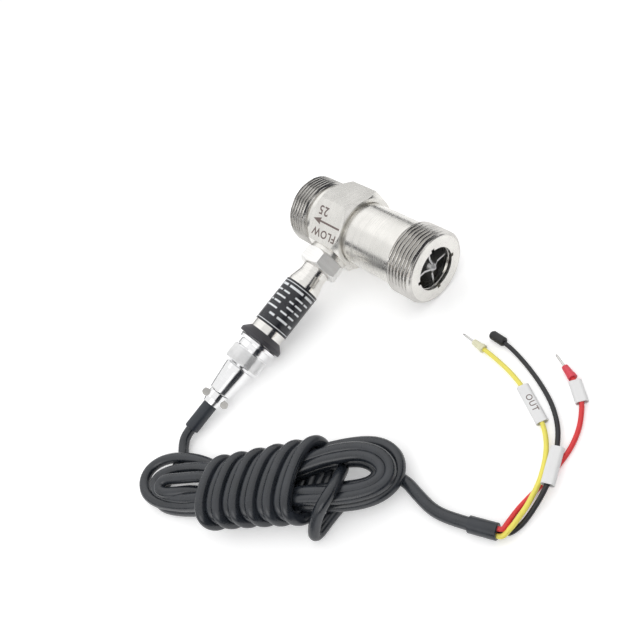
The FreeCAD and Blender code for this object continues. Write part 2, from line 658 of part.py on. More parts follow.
def collar(route):
    """The flared plastic collar of a wire's end ferrule."""
    before, end = last_two(route)
    start = COLLAR_TIP - COLLAR_LENGTH
    outline = [(start, WIRE_R), (start, COLLAR_MOUTH_R), (start + 1.5, COLLAR_MOUTH_R)]
    outline += [(start + 3, COLLAR_R), (COLLAR_TIP, COLLAR_R - 0.3), (COLLAR_TIP, PIN_TIP_R)]
    outline += [(0, PIN_TIP_R), (0, WIRE_R)]
    return aimed(turned(outline, "z"), end, end + (end - before))


def ferrule_pin(route):
    """The crimped metal pin that stands out of the collar."""
    before, end = last_two(route)
    outline = [(0, 0), (0, PIN_TIP_R), (PIN_TIP_LENGTH, PIN_TIP_R)]
    outline += [(COLLAR_TIP + PIN_TIP_LENGTH, PIN_TIP_R * 0.7), (COLLAR_TIP + PIN_TIP_LENGTH, 0)]
    return aimed(turned(outline, "z"), end, end + (end - before))


def boot(route):
    """The closed boot over the end of a wire."""
    before, end = last_two(route)
    start = COLLAR_TIP - BOOT_LENGTH
    outline = [(start, WIRE_R), (start, BOOT_R - 0.4), (start + 0.6, BOOT_R), (COLLAR_TIP - 1.2, BOOT_R)]
    outline += [(COLLAR_TIP - 0.3, BOOT_R - 0.6), (COLLAR_TIP, BOOT_R - 1.4), (COLLAR_TIP, 0)]
    outline += [(0, 0), (0, WIRE_R)]
    return aimed(turned(outline, "z"), end, end + (end - before))


def oval(wide, high, sides):
    """A flat oval face square to x, with a straight edge at its bottom and at its top."""
    points = []
    for side in range(sides):
        turn = 2 * pi * (side + 0.5) / sides
        points.append(V(0, wide * sin(turn), high * cos(turn)))
    lift = high / max(point.z for point in points)
    return face_of([V(0, point.y, point.z * lift) for point in points])


def cable_hank():
    """The hank's outer shape: a ring of strands, the wound band round it and the tucked-in end."""
    face = oval(HANK_RING_WIDE, HANK_RING_HIGH, 14)
    pieces = []
    for side in (-1, 1):
        strands = face.copy()
        strands.translate(V(-HANK_RING_HALF, side * HANK_RING_R, 0))
        pieces.append(strands.extrude(X_AXIS * 2 * HANK_RING_HALF))
    for side in (-1, 1):
        end = face.copy()
        end.translate(V(side * HANK_RING_HALF, HANK_RING_R, 0))
        middle = V(side * HANK_RING_HALF, 0, 0)
        pieces.append(end.revolve(middle, Z_AXIS * -side, 180))
    ring = pieces[0].fuse(pieces[1:])
    ring.translate(V(0, -HANK_RING_SHIFT, HANK_RING_HIGH))
    band = oval(BAND_WIDE, BAND_HIGH, 26)
    band.translate(V(BAND_START, -BAND_SHIFT, BAND_HIGH))
    band = band.extrude(X_AXIS * (BAND_END - BAND_START))
    top = V(HOOK_TOP[0], -HOOK_TOP[1], HOOK_TOP[2])
    end = V(HOOK_END[0], -HOOK_END[1], HOOK_END[2])
    hook = Part.makeCylinder(HOOK_R, (end - top).Length, top, end - top)
    hook = hook.fuse([Part.makeSphere(HOOK_R, end), Part.makeSphere(HOOK_R, top)])
    whole = ring.fuse([band, hook]).removeSplitter()
    whole.rotate(ORIGIN, Z_AXIS, HANK_TURN)
    whole.translate(V(HANK_MIDDLE[0], HANK_MIDDLE[1], 0))
    return whole


def cords(lie):
    """The cable, its hank, and the wires with their sleeves and ends, laid on the surface."""
    leaving = lie.multVec(V(0, 0, SLEEVE_END))
    straight_end = lie.multVec(V(0, 0, SLEEVE_END + LEAD_STRAIGHT))
    hidden = disc(CABLE_R, CABLE_START, SLEEVE_END)
    hidden.Placement = lie
    hank = cable_hank()
    lead = tube([leaving, straight_end, *LEAD_ROUTE], CABLE_R, "cable_lead")
    turn = radians(JACKET_TURN)
    forward = V(cos(turn), sin(turn), 0)
    left = V(-sin(turn), cos(turn), 0)
    mouth = V(*JACKET_END)
    tail = tube([*TAIL_ROUTE, mouth - forward * JACKET_SLEEVE_PLUG], CABLE_R, "cable_tail").cut(hank)
    outline = [(0, 0), (0, JACKET_SLEEVE_R - 0.3), (0.3, JACKET_SLEEVE_R)]
    outline += [(JACKET_SLEEVE_LENGTH, JACKET_SLEEVE_R), (JACKET_SLEEVE_LENGTH, CABLE_R)]
    outline += [(JACKET_SLEEVE_PLUG, CABLE_R), (JACKET_SLEEVE_PLUG, 0)]
    pieces = {
        "cable_lead": hidden.fuse(lead.cut(hank)).removeSplitter(),
        "cable_hank": hank,
        "cable_tail": tail,
        "jacket_sleeve": aimed(turned(outline, "z"), mouth, mouth - forward).cut(tail),
    }
    wires = {
        "yellow": (YELLOW_ROUTE, YELLOW_MARKER, YELLOW_WIRE_AT),
        "black": (BLACK_ROUTE, BLACK_MARKER, BLACK_WIRE_AT),
        "red": (RED_ROUTE, RED_MARKER, RED_WIRE_AT),
    }
    for colour, (route, ends, at) in wires.items():
        place = radians(at)
        start = mouth + left * (WIRE_SPREAD * cos(place)) + Z_AXIS * (WIRE_SPREAD * sin(place))
        wire = tube([start, start + forward * WIRE_STRAIGHT, *route], WIRE_R, f"{colour}_wire")
        pieces[f"{colour}_wire"] = wire
        pieces[f"{colour}_marker"] = marker(ends).cut(wire)
        if colour == "black":
            pieces["black_boot"] = boot(route).cut(wire)
        else:
            pieces[f"{colour}_collar"] = collar(route).cut(wire)
            pieces[f"{colour}_pin"] = ferrule_pin(route)
    return pieces


rigid = {
    "meter_body": meter_body(),
    "inlet_straightener": straightener(INLET_FACE, 1),
    "outlet_straightener": straightener(-OUTLET_FACE, -1),
    "inlet_snap_ring": snap_ring(INLET_FACE, 1),
    "outlet_snap_ring": snap_ring(-OUTLET_FACE, -1),
    "inlet_bush": bush(1),
    "outlet_bush": bush(-1),
    "rotor": rotor(),
    "rotor_shaft": rotor_shaft(),
    "lock_nut": lock_nut(),
    "pickup_case": pickup_case(),
    "pickup_magnet": pickup_magnet(),
    "pickup_coil": pickup_coil(),
    "amplifier_board": amplifier_board(),
    "label_sleeve": label_sleeve(),
    "flange_gasket": flange_gasket(),
    "connector_socket": connector_socket(),
    "socket_insert": socket_insert(),
    "coupling_ring": coupling_ring(),
    "plug_shell": plug_shell(),
    "plug_insert": plug_insert(),
    "clamp_front": clamp_half(1),
    "clamp_back": clamp_half(-1),
    "clamp_screws": clamp_screws(),
    "cable_sleeve": cable_sleeve(),
}
lie = laid_down(rigid)
nodes = {}
for name, shape in rigid.items():
    shape.Placement = lie.multiply(shape.Placement)
    nodes[name] = shape
nodes.update(cords(lie))
for name, shape in nodes.items():
    shape.exportStep(f"parts/{name}.step")
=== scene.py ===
from math import ceil, copysign, cos, hypot, pi, radians, sin, sqrt

import bmesh
import bpy
from mathutils import Matrix, Vector


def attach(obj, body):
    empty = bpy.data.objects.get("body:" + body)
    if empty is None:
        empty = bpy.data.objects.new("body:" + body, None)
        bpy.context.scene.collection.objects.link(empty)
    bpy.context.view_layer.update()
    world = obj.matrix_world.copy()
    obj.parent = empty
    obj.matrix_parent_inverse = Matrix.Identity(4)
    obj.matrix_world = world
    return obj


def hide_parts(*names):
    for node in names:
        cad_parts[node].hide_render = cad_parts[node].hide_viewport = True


# Turbine flow meter lying on a pale table, with its pulse pickup, plug, hank of cable and three
# marked wires. Everything is in metres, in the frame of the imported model.

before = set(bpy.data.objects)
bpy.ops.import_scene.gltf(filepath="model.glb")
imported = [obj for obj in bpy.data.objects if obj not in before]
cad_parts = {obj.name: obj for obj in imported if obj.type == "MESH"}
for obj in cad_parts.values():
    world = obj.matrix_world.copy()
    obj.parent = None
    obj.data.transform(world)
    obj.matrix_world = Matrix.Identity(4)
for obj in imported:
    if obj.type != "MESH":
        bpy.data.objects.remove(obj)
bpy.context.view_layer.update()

MM = 0.001
METER = "meter"

# The meter's own axes in the row: x is the flow axis towards the inlet, z is the pickup's axis
FLOW = Vector((0.99784912, 0.0, -0.06555255))
PICKUP = Vector((-0.008619, -0.99131851, -0.13119956))
ACROSS = PICKUP.cross(FLOW)
CROSSING = Vector((-0.0164645, 0.0633804, 0.0251738))
LAID = Matrix((
    (FLOW.x, ACROSS.x, PICKUP.x, CROSSING.x),
    (FLOW.y, ACROSS.y, PICKUP.y, CROSSING.y),
    (FLOW.z, ACROSS.z, PICKUP.z, CROSSING.z),
    (0.0, 0.0, 0.0, 1.0),
))
CABLE_D = 6.0
WIRE_D = 2.3
SLEEVE_END = 150.5


def on_meter(x, y, z):
    """A point given in millimetres on the meter's own axes."""
    return LAID @ Vector((x * MM, y * MM, z * MM))


# Camera

def place_camera():
    """The photograph's viewpoint: a short distance above, on the inlet and cable side."""
    right = Vector((0.6261106, 0.6662462, -0.4050945))
    down = Vector((0.392023, -0.718063, -0.5750682))
    ahead = Vector((-0.6740203, 0.20125, -0.7107707))
    spot = Vector((260.3268535, -68.5485797, 281.7097153)) * MM
    data = bpy.data.cameras.new("camera")
    data.sensor_width = 36.0
    data.lens = 36.0 * 664.4423581 / 640.0
    data.clip_start = 0.01
    data.clip_end = 20.0
    camera = bpy.data.objects.new("camera", data)
    camera.matrix_world = Matrix((
        (right.x, -down.x, -ahead.x, spot.x),
        (right.y, -down.y, -ahead.y, spot.y),
        (right.z, -down.z, -ahead.z, spot.z),
        (0.0, 0.0, 0.0, 1.0),
    ))
    bpy.context.scene.collection.objects.link(camera)
    bpy.context.scene.camera = camera


# Materials

class Finish:
    """A material's node tree, with short calls for the few kinds of node that the finishes use."""

    def __init__(self, name):
        self.material = bpy.data.materials.new(name)
        self.material.use_nodes = True
        self.nodes = self.material.node_tree.nodes
        self.links = self.material.node_tree.links
        self.shader = self.nodes["Principled BSDF"]

    def set(self, **values):
        for name, value in values.items():
            self.shader.inputs[name.replace("_", " ")].default_value = value

    def node(self, kind, **settings):
        made = self.nodes.new(kind)
        for name, value in settings.items():
            setattr(made, name, value)
        return made

    def place(self, scale=(1.0, 1.0, 1.0), turn=None, spot=None):
        """Object coordinates, turned and stretched."""
        coordinates = self.node("ShaderNodeTexCoord")
        mapping = self.node("ShaderNodeMapping", vector_type="TEXTURE")
        mapping.inputs["Scale"].default_value = [1.0 / s for s in scale]
        if turn is not None:
            mapping.inputs["Rotation"].default_value = turn
        if spot is not None:
            mapping.inputs["Location"].default_value = spot
        self.links.new(coordinates.outputs["Object"], mapping.inputs["Vector"])
        return mapping.outputs["Vector"]

    def noise(self, vector, scale, detail=3.0, roughness=0.5, distortion=0.0):
        made = self.node("ShaderNodeTexNoise")
        made.inputs["Scale"].default_value = scale
        made.inputs["Detail"].default_value = detail
        made.inputs["Roughness"].default_value = roughness
        made.inputs["Distortion"].default_value = distortion
        self.links.new(vector, made.inputs["Vector"])
        return made.outputs["Fac"]

    def spread(self, value, low, high, to_low, to_high):
        made = self.node("ShaderNodeMapRange")
        limits = {"From Min": low, "From Max": high, "To Min": to_low, "To Max": to_high}
        for name, number in limits.items():
            made.inputs[name].default_value = number
        self.links.new(value, made.inputs["Value"])
        return made.outputs["Result"]

    def maths(self, first, second, operation="ADD"):
        made = self.node("ShaderNodeMath", operation=operation)
        for socket, value in zip(made.inputs, (first, second)):
            if isinstance(value, (int, float)):
                socket.default_value = value
            else:
                self.links.new(value, socket)
        return made.outputs["Value"]

    def mix(self, amount, first, second):
        made = self.node("ShaderNodeMix", data_type="RGBA")
        if isinstance(amount, (int, float)):
            made.inputs["Factor"].default_value = amount
        else:
            self.links.new(amount, made.inputs["Factor"])
        for name, value in (("A", first), ("B", second)):
            socket = [s for s in made.inputs if s.name == name and s.type == "RGBA"][0]
            if isinstance(value, tuple):
                socket.default_value = (*value, 1.0)
            else:
                self.links.new(value, socket)
        return [s for s in made.outputs if s.type == "RGBA"][0]

    def bump(self, height, strength, distance):
        made = self.node("ShaderNodeBump")
        made.inputs["Strength"].default_value = strength
        made.inputs["Distance"].default_value = distance
        self.links.new(height, made.inputs["Height"])
        self.links.new(made.outputs["Normal"], self.shader.inputs["Normal"])

    def feed(self, value, name):
        self.links.new(value, self.shader.inputs[name])


def steel(name, colour, rough, turned_about=None, streak=900.0, dark=0.78):
    """Machined metal: lathe marks about an axis, or milled lines, with a slight stain."""
    made = Finish(name)
    made.set(Metallic=1.0)
    lying = LAID.to_euler()
    inner = made.place(turn=lying, spot=LAID.translation)
    if turned_about == "flow":
        marks = made.place(scale=(streak, 8.0, 8.0), turn=lying, spot=LAID.translation)
    elif turned_about == "pickup":
        marks = made.place(scale=(8.0, 8.0, streak), turn=lying, spot=LAID.translation)
    else:
        marks = made.place(scale=(60.0, 60.0, 60.0), turn=lying, spot=LAID.translation)
    lines = made.noise(marks, 1.0, 2.0)
    stain = made.noise(inner, 90.0, 4.0, 0.6)
    darker = tuple(c * dark for c in colour)
    tint = made.mix(made.spread(stain, 0.35, 0.7, 0.0, 1.0), colour, darker)
    made.feed(made.mix(made.spread(lines, 0.3, 0.7, 0.0, 0.35), tint, tuple(c * 0.82 for c in colour)),
              "Base Color")
    made.feed(made.maths(made.spread(lines, 0.3, 0.7, rough * 0.8, rough * 1.25),
                         made.spread(stain, 0.3, 0.7, -0.03, 0.05)), "Roughness")
    made.bump(lines, 0.25, 0.00005)
    return made.material


def plastic(name, colour, rough, mottle=0.12, grain=2500.0, coat=0.0, shine=0.5):
    """Moulded or extruded plastic with a fine grain and slightly uneven gloss."""
    made = Finish(name)
    made.set(Coat_Weight=coat, Coat_Roughness=0.12, Specular_IOR_Level=shine)
    spot = made.place()
    cloud = made.noise(spot, 120.0, 3.0)
    fine = made.noise(spot, grain, 2.0)
    lighter = tuple(min(1.0, c * (1 + mottle) + mottle * 0.02) for c in colour)
    made.feed(made.mix(made.spread(cloud, 0.35, 0.65, 0.0, 1.0), colour, lighter), "Base Color")
    made.feed(made.spread(cloud, 0.3, 0.7, rough * 0.85, rough * 1.2), "Roughness")
    made.bump(fine, 0.15, 0.00004)
    return made.material


def put_on(piece, material):
    """Give a piece one material."""
    piece.data.materials.clear()
    piece.data.materials.append(material)


def finish_nodes(material, *names):
    """Give CAD nodes that stay a detailed material."""
    for name in names:
        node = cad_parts[name]
        node.data.materials.clear()
        node.data.materials.append(material)


body_steel = steel("body_steel", (0.80, 0.785, 0.75), 0.25, "flow", dark=0.88)
vane_steel = steel("vane_steel", (0.64, 0.64, 0.64), 0.4)
spring_steel = steel("spring_steel", (0.5, 0.49, 0.47), 0.25)
bush_carbide = steel("bush_carbide", (0.2, 0.2, 0.21), 0.3)
rotor_steel = steel("rotor_steel", (0.58, 0.58, 0.6), 0.4)
nut_steel = steel("nut_steel", (0.94, 0.935, 0.92), 0.5, "pickup", dark=0.92)
case_steel = steel("case_steel", (0.82, 0.805, 0.775), 0.17, "pickup", dark=0.9)
magnet_dark = steel("magnet", (0.16, 0.16, 0.17), 0.35)
winding_copper = steel("winding", (0.72, 0.36, 0.18), 0.3, "pickup", 4000.0)
connector_nickel = steel("connector_nickel", (0.92, 0.92, 0.925), 0.15, "pickup", dark=0.92)
screw_steel = steel("screw_steel", (0.6, 0.585, 0.56), 0.3, dark=0.6)
ferrule_tin = steel("ferrule_tin", (0.75, 0.74, 0.72), 0.2)
board_green = plastic("board_green", (0.04, 0.22, 0.09), 0.3)
label_black = plastic("label_black", (0.016, 0.017, 0.022), 0.28)
gasket_black = plastic("gasket_black", (0.04, 0.038, 0.044), 0.45)
insulator = plastic("insulator", (0.03, 0.03, 0.03), 0.45)
shrink_black = plastic("shrink_black", (0.024, 0.029, 0.038), 0.38)
cable_black = plastic("cable_black", (0.0125, 0.0155, 0.021), 0.27, 0.3, shine=0.68)
jacket_black = plastic("jacket_black", (0.014, 0.017, 0.023), 0.3, 0.3, shine=0.6)
wire_yellow = plastic("wire_yellow", (0.88, 0.78, 0.13), 0.3, 0.06)
wire_black = plastic("wire_black", (0.015, 0.015, 0.017), 0.3)
wire_red = plastic("wire_red", (0.72, 0.035, 0.04), 0.3, 0.1)
marker_white = plastic("marker_white", (0.82, 0.82, 0.82), 0.45, 0.03)
collar_pale = plastic("collar_pale", (0.8, 0.78, 0.55), 0.4, 0.05)
collar_red = plastic("collar_red", (0.72, 0.06, 0.09), 0.35, 0.1)
thread_steel = steel("thread_steel", (0.66, 0.645, 0.62), 0.22, "flow")
knurl_nickel = steel("knurl_nickel", (0.92, 0.92, 0.92), 0.36)
mark_dark = plastic("mark_dark", (0.16, 0.12, 0.11), 0.5)
label_ink = plastic("label_ink", (0.72, 0.74, 0.76), 0.4)
boot_black = plastic("boot_black", (0.014, 0.014, 0.015), 0.4)

finish_nodes(vane_steel, "inlet_straightener", "outlet_straightener")
finish_nodes(spring_steel, "inlet_snap_ring", "outlet_snap_ring")
finish_nodes(bush_carbide, "inlet_bush", "outlet_bush", "rotor_shaft")
finish_nodes(rotor_steel, "rotor")
finish_nodes(nut_steel, "lock_nut")
finish_nodes(case_steel, "pickup_case")
finish_nodes(magnet_dark, "pickup_magnet")
finish_nodes(winding_copper, "pickup_coil")
finish_nodes(board_green, "amplifier_board")
finish_nodes(label_black, "label_sleeve")
finish_nodes(gasket_black, "flange_gasket")
finish_nodes(connector_nickel, "connector_socket", "coupling_ring", "plug_shell")
finish_nodes(connector_nickel, "clamp_front", "clamp_back")
finish_nodes(insulator, "socket_insert", "plug_insert")
finish_nodes(screw_steel, "clamp_screws")
finish_nodes(shrink_black, "cable_sleeve")
finish_nodes(jacket_black, "jacket_sleeve")
finish_nodes(marker_white, "yellow_marker", "black_marker", "red_marker")
finish_nodes(collar_pale, "yellow_collar")
finish_nodes(collar_red, "red_collar")
finish_nodes(ferrule_tin, "yellow_pin", "red_pin")
finish_nodes(boot_black, "black_boot")


# Cable and wires

HANK_MIDDLE = (41.4, -77.2)
HANK_TURN = radians(39.5)


def in_hank(along, across, height):
    """A point of the hank's own frame, in the row, in millimetres."""
    x = HANK_MIDDLE[0] + along * cos(HANK_TURN) + across * sin(HANK_TURN)
    y = HANK_MIDDLE[1] + along * sin(HANK_TURN) - across * cos(HANK_TURN)
    return (x, y, height)


# Ends of the hank's loops: left ones from the upper strand to the lower, right ones the other way
LEFT_ENDS = (
    [(-31.9, -7.6, 8.4), (-45, -11.7, 7), (-57.2, -13.2, 6.5), (-66.4, -11.5, 6.3), (-72.6, -6.8, 6.2),
     (-73.7, 0.2, 6.2), (-69.6, 7.5, 6.2), (-60.8, 12.6, 6.3), (-50, 14.9, 6.6), (-37.2, 16.8, 7.8)],
    [(-29.4, -2.7, 12.5), (-42.4, -4.5, 9.8), (-53.6, -4.4, 8.8), (-61.7, -1.8, 8.6), (-64.3, 2.9, 8.5),
     (-59.1, 8.7, 8.5), (-48.8, 11.8, 8.8), (-36.3, 13.6, 10.5)],
    [(-27, 3.1, 13.9), (-38, 2.9, 13.5), (-47, 2.8, 13), (-52.4, 2.7, 12.9), (-56.2, 4.4, 12.7),
     (-56.6, 8, 12.5), (-53, 10.1, 12.1), (-46.6, 9.8, 11.2), (-37.5, 8, 8.8), (-26, 10.6, 8.6)],
)
RIGHT_ENDS = (
    [(43.2, 20.2, 8.4), (52.2, 20.1, 8.2), (61, 18.9, 8), (68.5, 16.1, 7.8), (74.1, 11.5, 7.8),
     (76.9, 4.9, 8), (75.6, -2.5, 8), (70.4, -8.2, 8.2), (62.9, -11, 8.4), (54.6, -11.4, 8.6),
     (46.1, -10.8, 8.6), (37.6, -9.6, 8.6), (27, -6, 8.6)],
    [(45.4, 19.1, 13.8), (54.2, 18.5, 13.4), (61.8, 17.2, 13), (68.8, 14.7, 12.8), (73.3, 10.6, 12.6),
     (74.1, 4.8, 12.6), (70.7, -0.9, 12.8), (64, -4.8, 13), (56.9, -6.3, 13.4), (48.8, -6.1, 13.8),
     (40.5, -4.8, 14), (28, -1.4, 14)],
    [(43, 15.8, 13.8), (50.9, 15.4, 13.4), (58.2, 14.6, 13.2), (64.9, 13, 13), (69.5, 9.8, 13),
     (69.9, 5.1, 13), (66, 0.9, 13.2), (59.9, -1.7, 13.4), (53.2, -2.1, 13.6), (46.1, -1.3, 13.8),
     (37.9, -0.1, 14), (26, 3.6, 14)],
    [(41.8, 11.2, 7.6), (50.5, 10.9, 7.4), (58, 10.2, 7.2), (63.5, 8.3, 7), (65.7, 4.7, 7), (63.2, 1, 7),
     (58, -1.6, 7.2), (51.8, -2.3, 7.4), (44.5, -1.9, 7.6), (35.3, -0.3, 8.2), (24, 4, 8.6)],
)
# Where each loop's two strands lie inside the wraps: across, height
UPPER_STRANDS = ((2.0, 8.6), (3.2, 14.0), (8.2, 14.0), (7.8, 8.6))
LOWER_STRANDS = ((19.4, 8.6), (18.2, 14.0), (13.2, 14.0), (13.6, 8.6))
WRAPS = 10.7
WRAP_STEP = 4.88
WRAP_POINTS = 12


def wrap_point(count):
    """A point of the wraps, so many turns after their start at the hank's back.

    Every second turn lies a little deeper, between its neighbours, and changes over underneath.
    """
    turn = 2 * pi * count
    deep = int(count + 1 / 9) % 2
    within = (count + 1 / 9) % 1
    change = min(1.0, max(0.0, (within - 0.72) / 0.28))
    sink = 2.2 * (deep + (1 - 2 * deep) * change)
    share = count / WRAPS
    half = 17.2 + 3.0 * share ** 1.5 - sink
    middle = 11.2 - 3.9 * share
    bulge = (2.8 + 3.0 * share) * cos(turn) - 4.9 * sin(turn)
    over = copysign(abs(sin(turn)) ** 0.8, sin(turn))
    aside = copysign(abs(cos(turn)) ** 0.8, cos(turn))
    return (-18.7 + WRAP_STEP * count + bulge, middle - half * aside, 11.6 + (8.6 - sink) * over)


def hank_route():
    """The hank's strands: four loops, the wraps round them and the end tucked through."""
    route = [(-53.8, -16.5, 3.1), (-55.2, -10, 3.05), (-58.8, -3.5, 3.05), (-62, 3, 3.05),
             (-63, 8.5, 3.05), (-60, 12.8, 3.1), (-53.9, 15.4, 3.1), (-45.3, 16.8, 3.2),
             (-35.5, 17.8, 4.2), (-24, 18.8, 6.8)]
    for number in range(4):
        across, height = LOWER_STRANDS[number]
        route += [(a, across, height) for a in (-12, 0, 12)]
        route.append((27, (across + RIGHT_ENDS[number][0][1]) / 2, height))
        route += RIGHT_ENDS[number]
        across, height = UPPER_STRANDS[number]
        route += [(a, across, height) for a in (12, 0)]
        if number < 3:
            route.append((-12, across, height))
            route += LEFT_ENDS[number]
    route += [(-6, 5.2, 8.3), (-9.6, 0.6, 7.8)]
    route += [wrap_point(step / WRAP_POINTS) for step in range(round(WRAPS * WRAP_POINTS))]
    route += [(31.9, 19.7, 3.1), (35, 14.8, 3.1), (36.9, 9.3, 3.1), (37.9, 4.2, 3.1), (38.6, 0.2, 3.1),
              (40.6, -3.4, 3.1), (44.2, -4.4, 3.8), (46.8, -1.4, 5.6), (48, 3.6, 9.5), (48.7, 9.6, 14.5),
              (48.5, 15.6, 18.5), (46.8, 20.7, 20), (43.6, 24.7, 18.5), (39.8, 27.8, 14.2),
              (37.2, 31.0, 10), (35.6, 33.0, 6.2), (36.2, 31.6, 3.4), (38.6, 27.6, 2.9),
              (43.2, 21.4, 3.1), (47.4, 16.8, 3.1), (53.4, 13.2, 3.1), (60.9, 9.7, 3.1)]
    return [in_hank(*point) for point in route]


LEAD = [(-17.8, -91.0, 4.7), (-14.4, -95.8, 3.5)]
TAIL = [(99.0, -35.5, 3.6), (107.5, -33.6, 4.4), (116.5, -35.4, 4.1), (127.0, -36.6, 3.4),
        (138.2, -33.5, 3.8), (149.3, -29.0, 3.8)]
JACKET_END = Vector((154.7, -26.8, 3.8))
JACKET_TURN = radians(22.2)
WIRE_SPREAD = 1.75
YELLOW = [(157.9, -24.1, 4.5), (158.3, -20.7, 4.8), (158.1, -16.7, 4.8), (157.9, -11.6, 4.7),
          (157.0, -6.4, 4.3), (155.6, 0.0, 3.7), (153.2, 6.4, 3.0), (150.0, 13.0, 2.4),
          (145.9, 19.1, 2.0), (140.0, 24.9, 1.6), (130.6, 31.0, 1.6), (119.9, 36.2, 1.6),
          (111.2, 39.4, 1.4), (102.2, 41.6, 1.5), (93.6, 43.0, 2.2), (86.3, 44.0, 2.2)]
BLACK = [(158.2, -24.0, 1.8), (159.6, -19.7, 1.9), (160.1, -14.7, 2.2), (160.1, -9.7, 3.1),
         (159.9, -4.2, 4.2), (158.9, 1.9, 4.7), (156.5, 10.2, 4.1), (152.2, 18.3, 3.4),
         (146.8, 26.8, 2.3), (138.8, 34.4, 1.5), (129.9, 40.0, 1.25), (120.3, 44.7, 1.25),
         (109.2, 49.0, 1.4), (99.6, 51.4, 2.4), (91.0, 52.2, 2.4)]
RED = [(155.8, -22.3, 4.5), (155.1, -18.1, 3.0), (154.6, -12.9, 1.7), (154.9, -7.8, 1.25),
       (155.6, -1.8, 1.25), (156.3, 5.1, 1.25), (156.6, 13.0, 1.25), (156.2, 22.3, 1.3),
       (154.1, 31.0, 1.4), (151.0, 37.6, 1.5), (147.6, 43.2, 1.6), (143.0, 47.7, 1.6),
       (137.6, 51.3, 2.2), (132.2, 54.0, 2.2)]


def lay_cord(name, points, diameter, material):
    """A round cord on one smooth spline through the route's points, in millimetres."""
    data = bpy.data.curves.new(name, "CURVE")
    data.dimensions = "3D"
    data.resolution_u = 6
    data.bevel_depth = diameter / 2 * MM
    data.bevel_resolution = 5
    data.use_fill_caps = True
    spline = data.splines.new("NURBS")
    spline.points.add(len(points) - 1)
    for point, place in zip(spline.points, points):
        point.co = (*(Vector(place) * MM), 1.0)
    spline.order_u = 3
    spline.use_endpoint_u = True
    data.materials.append(material)
    piece = bpy.data.objects.new(name, data)
    bpy.context.scene.collection.objects.link(piece)
    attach(piece, METER)
    return piece


def wire_start(place):
    """Where a wire leaves the jacket's end, and the point straight after it."""
    ahead = Vector((cos(JACKET_TURN), sin(JACKET_TURN), 0.0))
    left = Vector((-sin(JACKET_TURN), cos(JACKET_TURN), 0.0))
    turn = radians(place)
    start = JACKET_END + left * WIRE_SPREAD * cos(turn) + Vector((0, 0, WIRE_SPREAD * sin(turn)))
    return [tuple(start), tuple(start + ahead * 2.2)]


def lay_cable_and_wires():
    """The cable with its hank, and the three wires."""
    leaving = on_meter(0, 0, SLEEVE_END) / MM
    points = [tuple(leaving), *LEAD, *hank_route(), *TAIL]
    cable = lay_cord("cable", points, CABLE_D, cable_black)
    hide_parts("cable_lead", "cable_hank", "cable_tail")
    wires = (
        ("yellow", YELLOW, 180.0, wire_yellow, "connector",
         ["yellow_marker", "yellow_collar", "yellow_pin"], 0.116),
        ("black", BLACK, 300.0, wire_black, "fitting",
         ["black_marker", "black_boot"], 0.120),
        ("red", RED, 60.0, wire_red, "connector",
         ["red_marker", "red_collar", "red_pin"], 0.091),
    )
    for colour, route, place, material, far_end, on_it, length in wires:
        start = wire_start(place)
        wire = lay_cord(f"{colour}_lead_wire", [*start, *route], WIRE_D, material)
        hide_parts(f"{colour}_wire")


# Solid helpers

def new_piece(name, points, faces, material, sharp=35.0):
    """A finished mesh piece; its points are in the row, in metres."""
    data = bpy.data.meshes.new(name)
    data.from_pydata([tuple(point) for point in points], [], faces)
    data.validate()
    work = bmesh.new()
    work.from_mesh(data)
    bmesh.ops.recalc_face_normals(work, faces=work.faces)
    work.to_mesh(data)
    work.free()
    for face in data.polygons:
        face.use_smooth = True
    data.set_sharp_from_angle(angle=radians(sharp))
    piece = bpy.data.objects.new(name, data)
    bpy.context.scene.collection.objects.link(piece)
    put_on(piece, material)
    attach(piece, METER)
    return piece


def swept_rings(rings):
    """Quads between neighbouring rings of points, the last ring joined to the first."""
    count = len(rings[0])
    faces = []
    for row in range(len(rings)):
        following = (row + 1) % len(rings)
        for step in range(count):
            beside = (step + 1) % count
            faces.append((row * count + step, row * count + beside, following * count + beside,
                          following * count + step))
    return [point for ring in rings for point in ring], faces


def around_flow(x, radius, angle):
    """A point about the flow axis, in millimetres, its angle from the meter's y axis."""
    return on_meter(x, radius * cos(angle), radius * sin(angle))


def around_pickup(station, radius, angle):
    """A point about the pickup's axis, in millimetres, its angle from the flow axis."""
    return on_meter(radius * cos(angle), radius * sin(angle), station)


# Body with cut threads

THREAD_R = 20.955
THREAD_PITCH = 2.309
THREAD_DEPTH = 1.479
BARREL_R = 18.9
THREAD_BANDS = (("inlet_thread_turns", 48.3, 66.5), ("outlet_thread_turns", -18.5, -33.5))


def thread_radius(x, angle, inner, face):
    """Radius of the threaded surface, with its end chamfer and its run-out to the barrel."""
    phase = (x / THREAD_PITCH + angle / (2 * pi)) % 1.0
    flank = min(1.0, max(0.0, 1.22 * abs(2 * phase - 1) - 0.11))
    radius = THREAD_R - THREAD_DEPTH * (1 - flank)
    return min(radius, 19.5 + abs(face - x), BARREL_R + 1.7 * abs(x - inner))


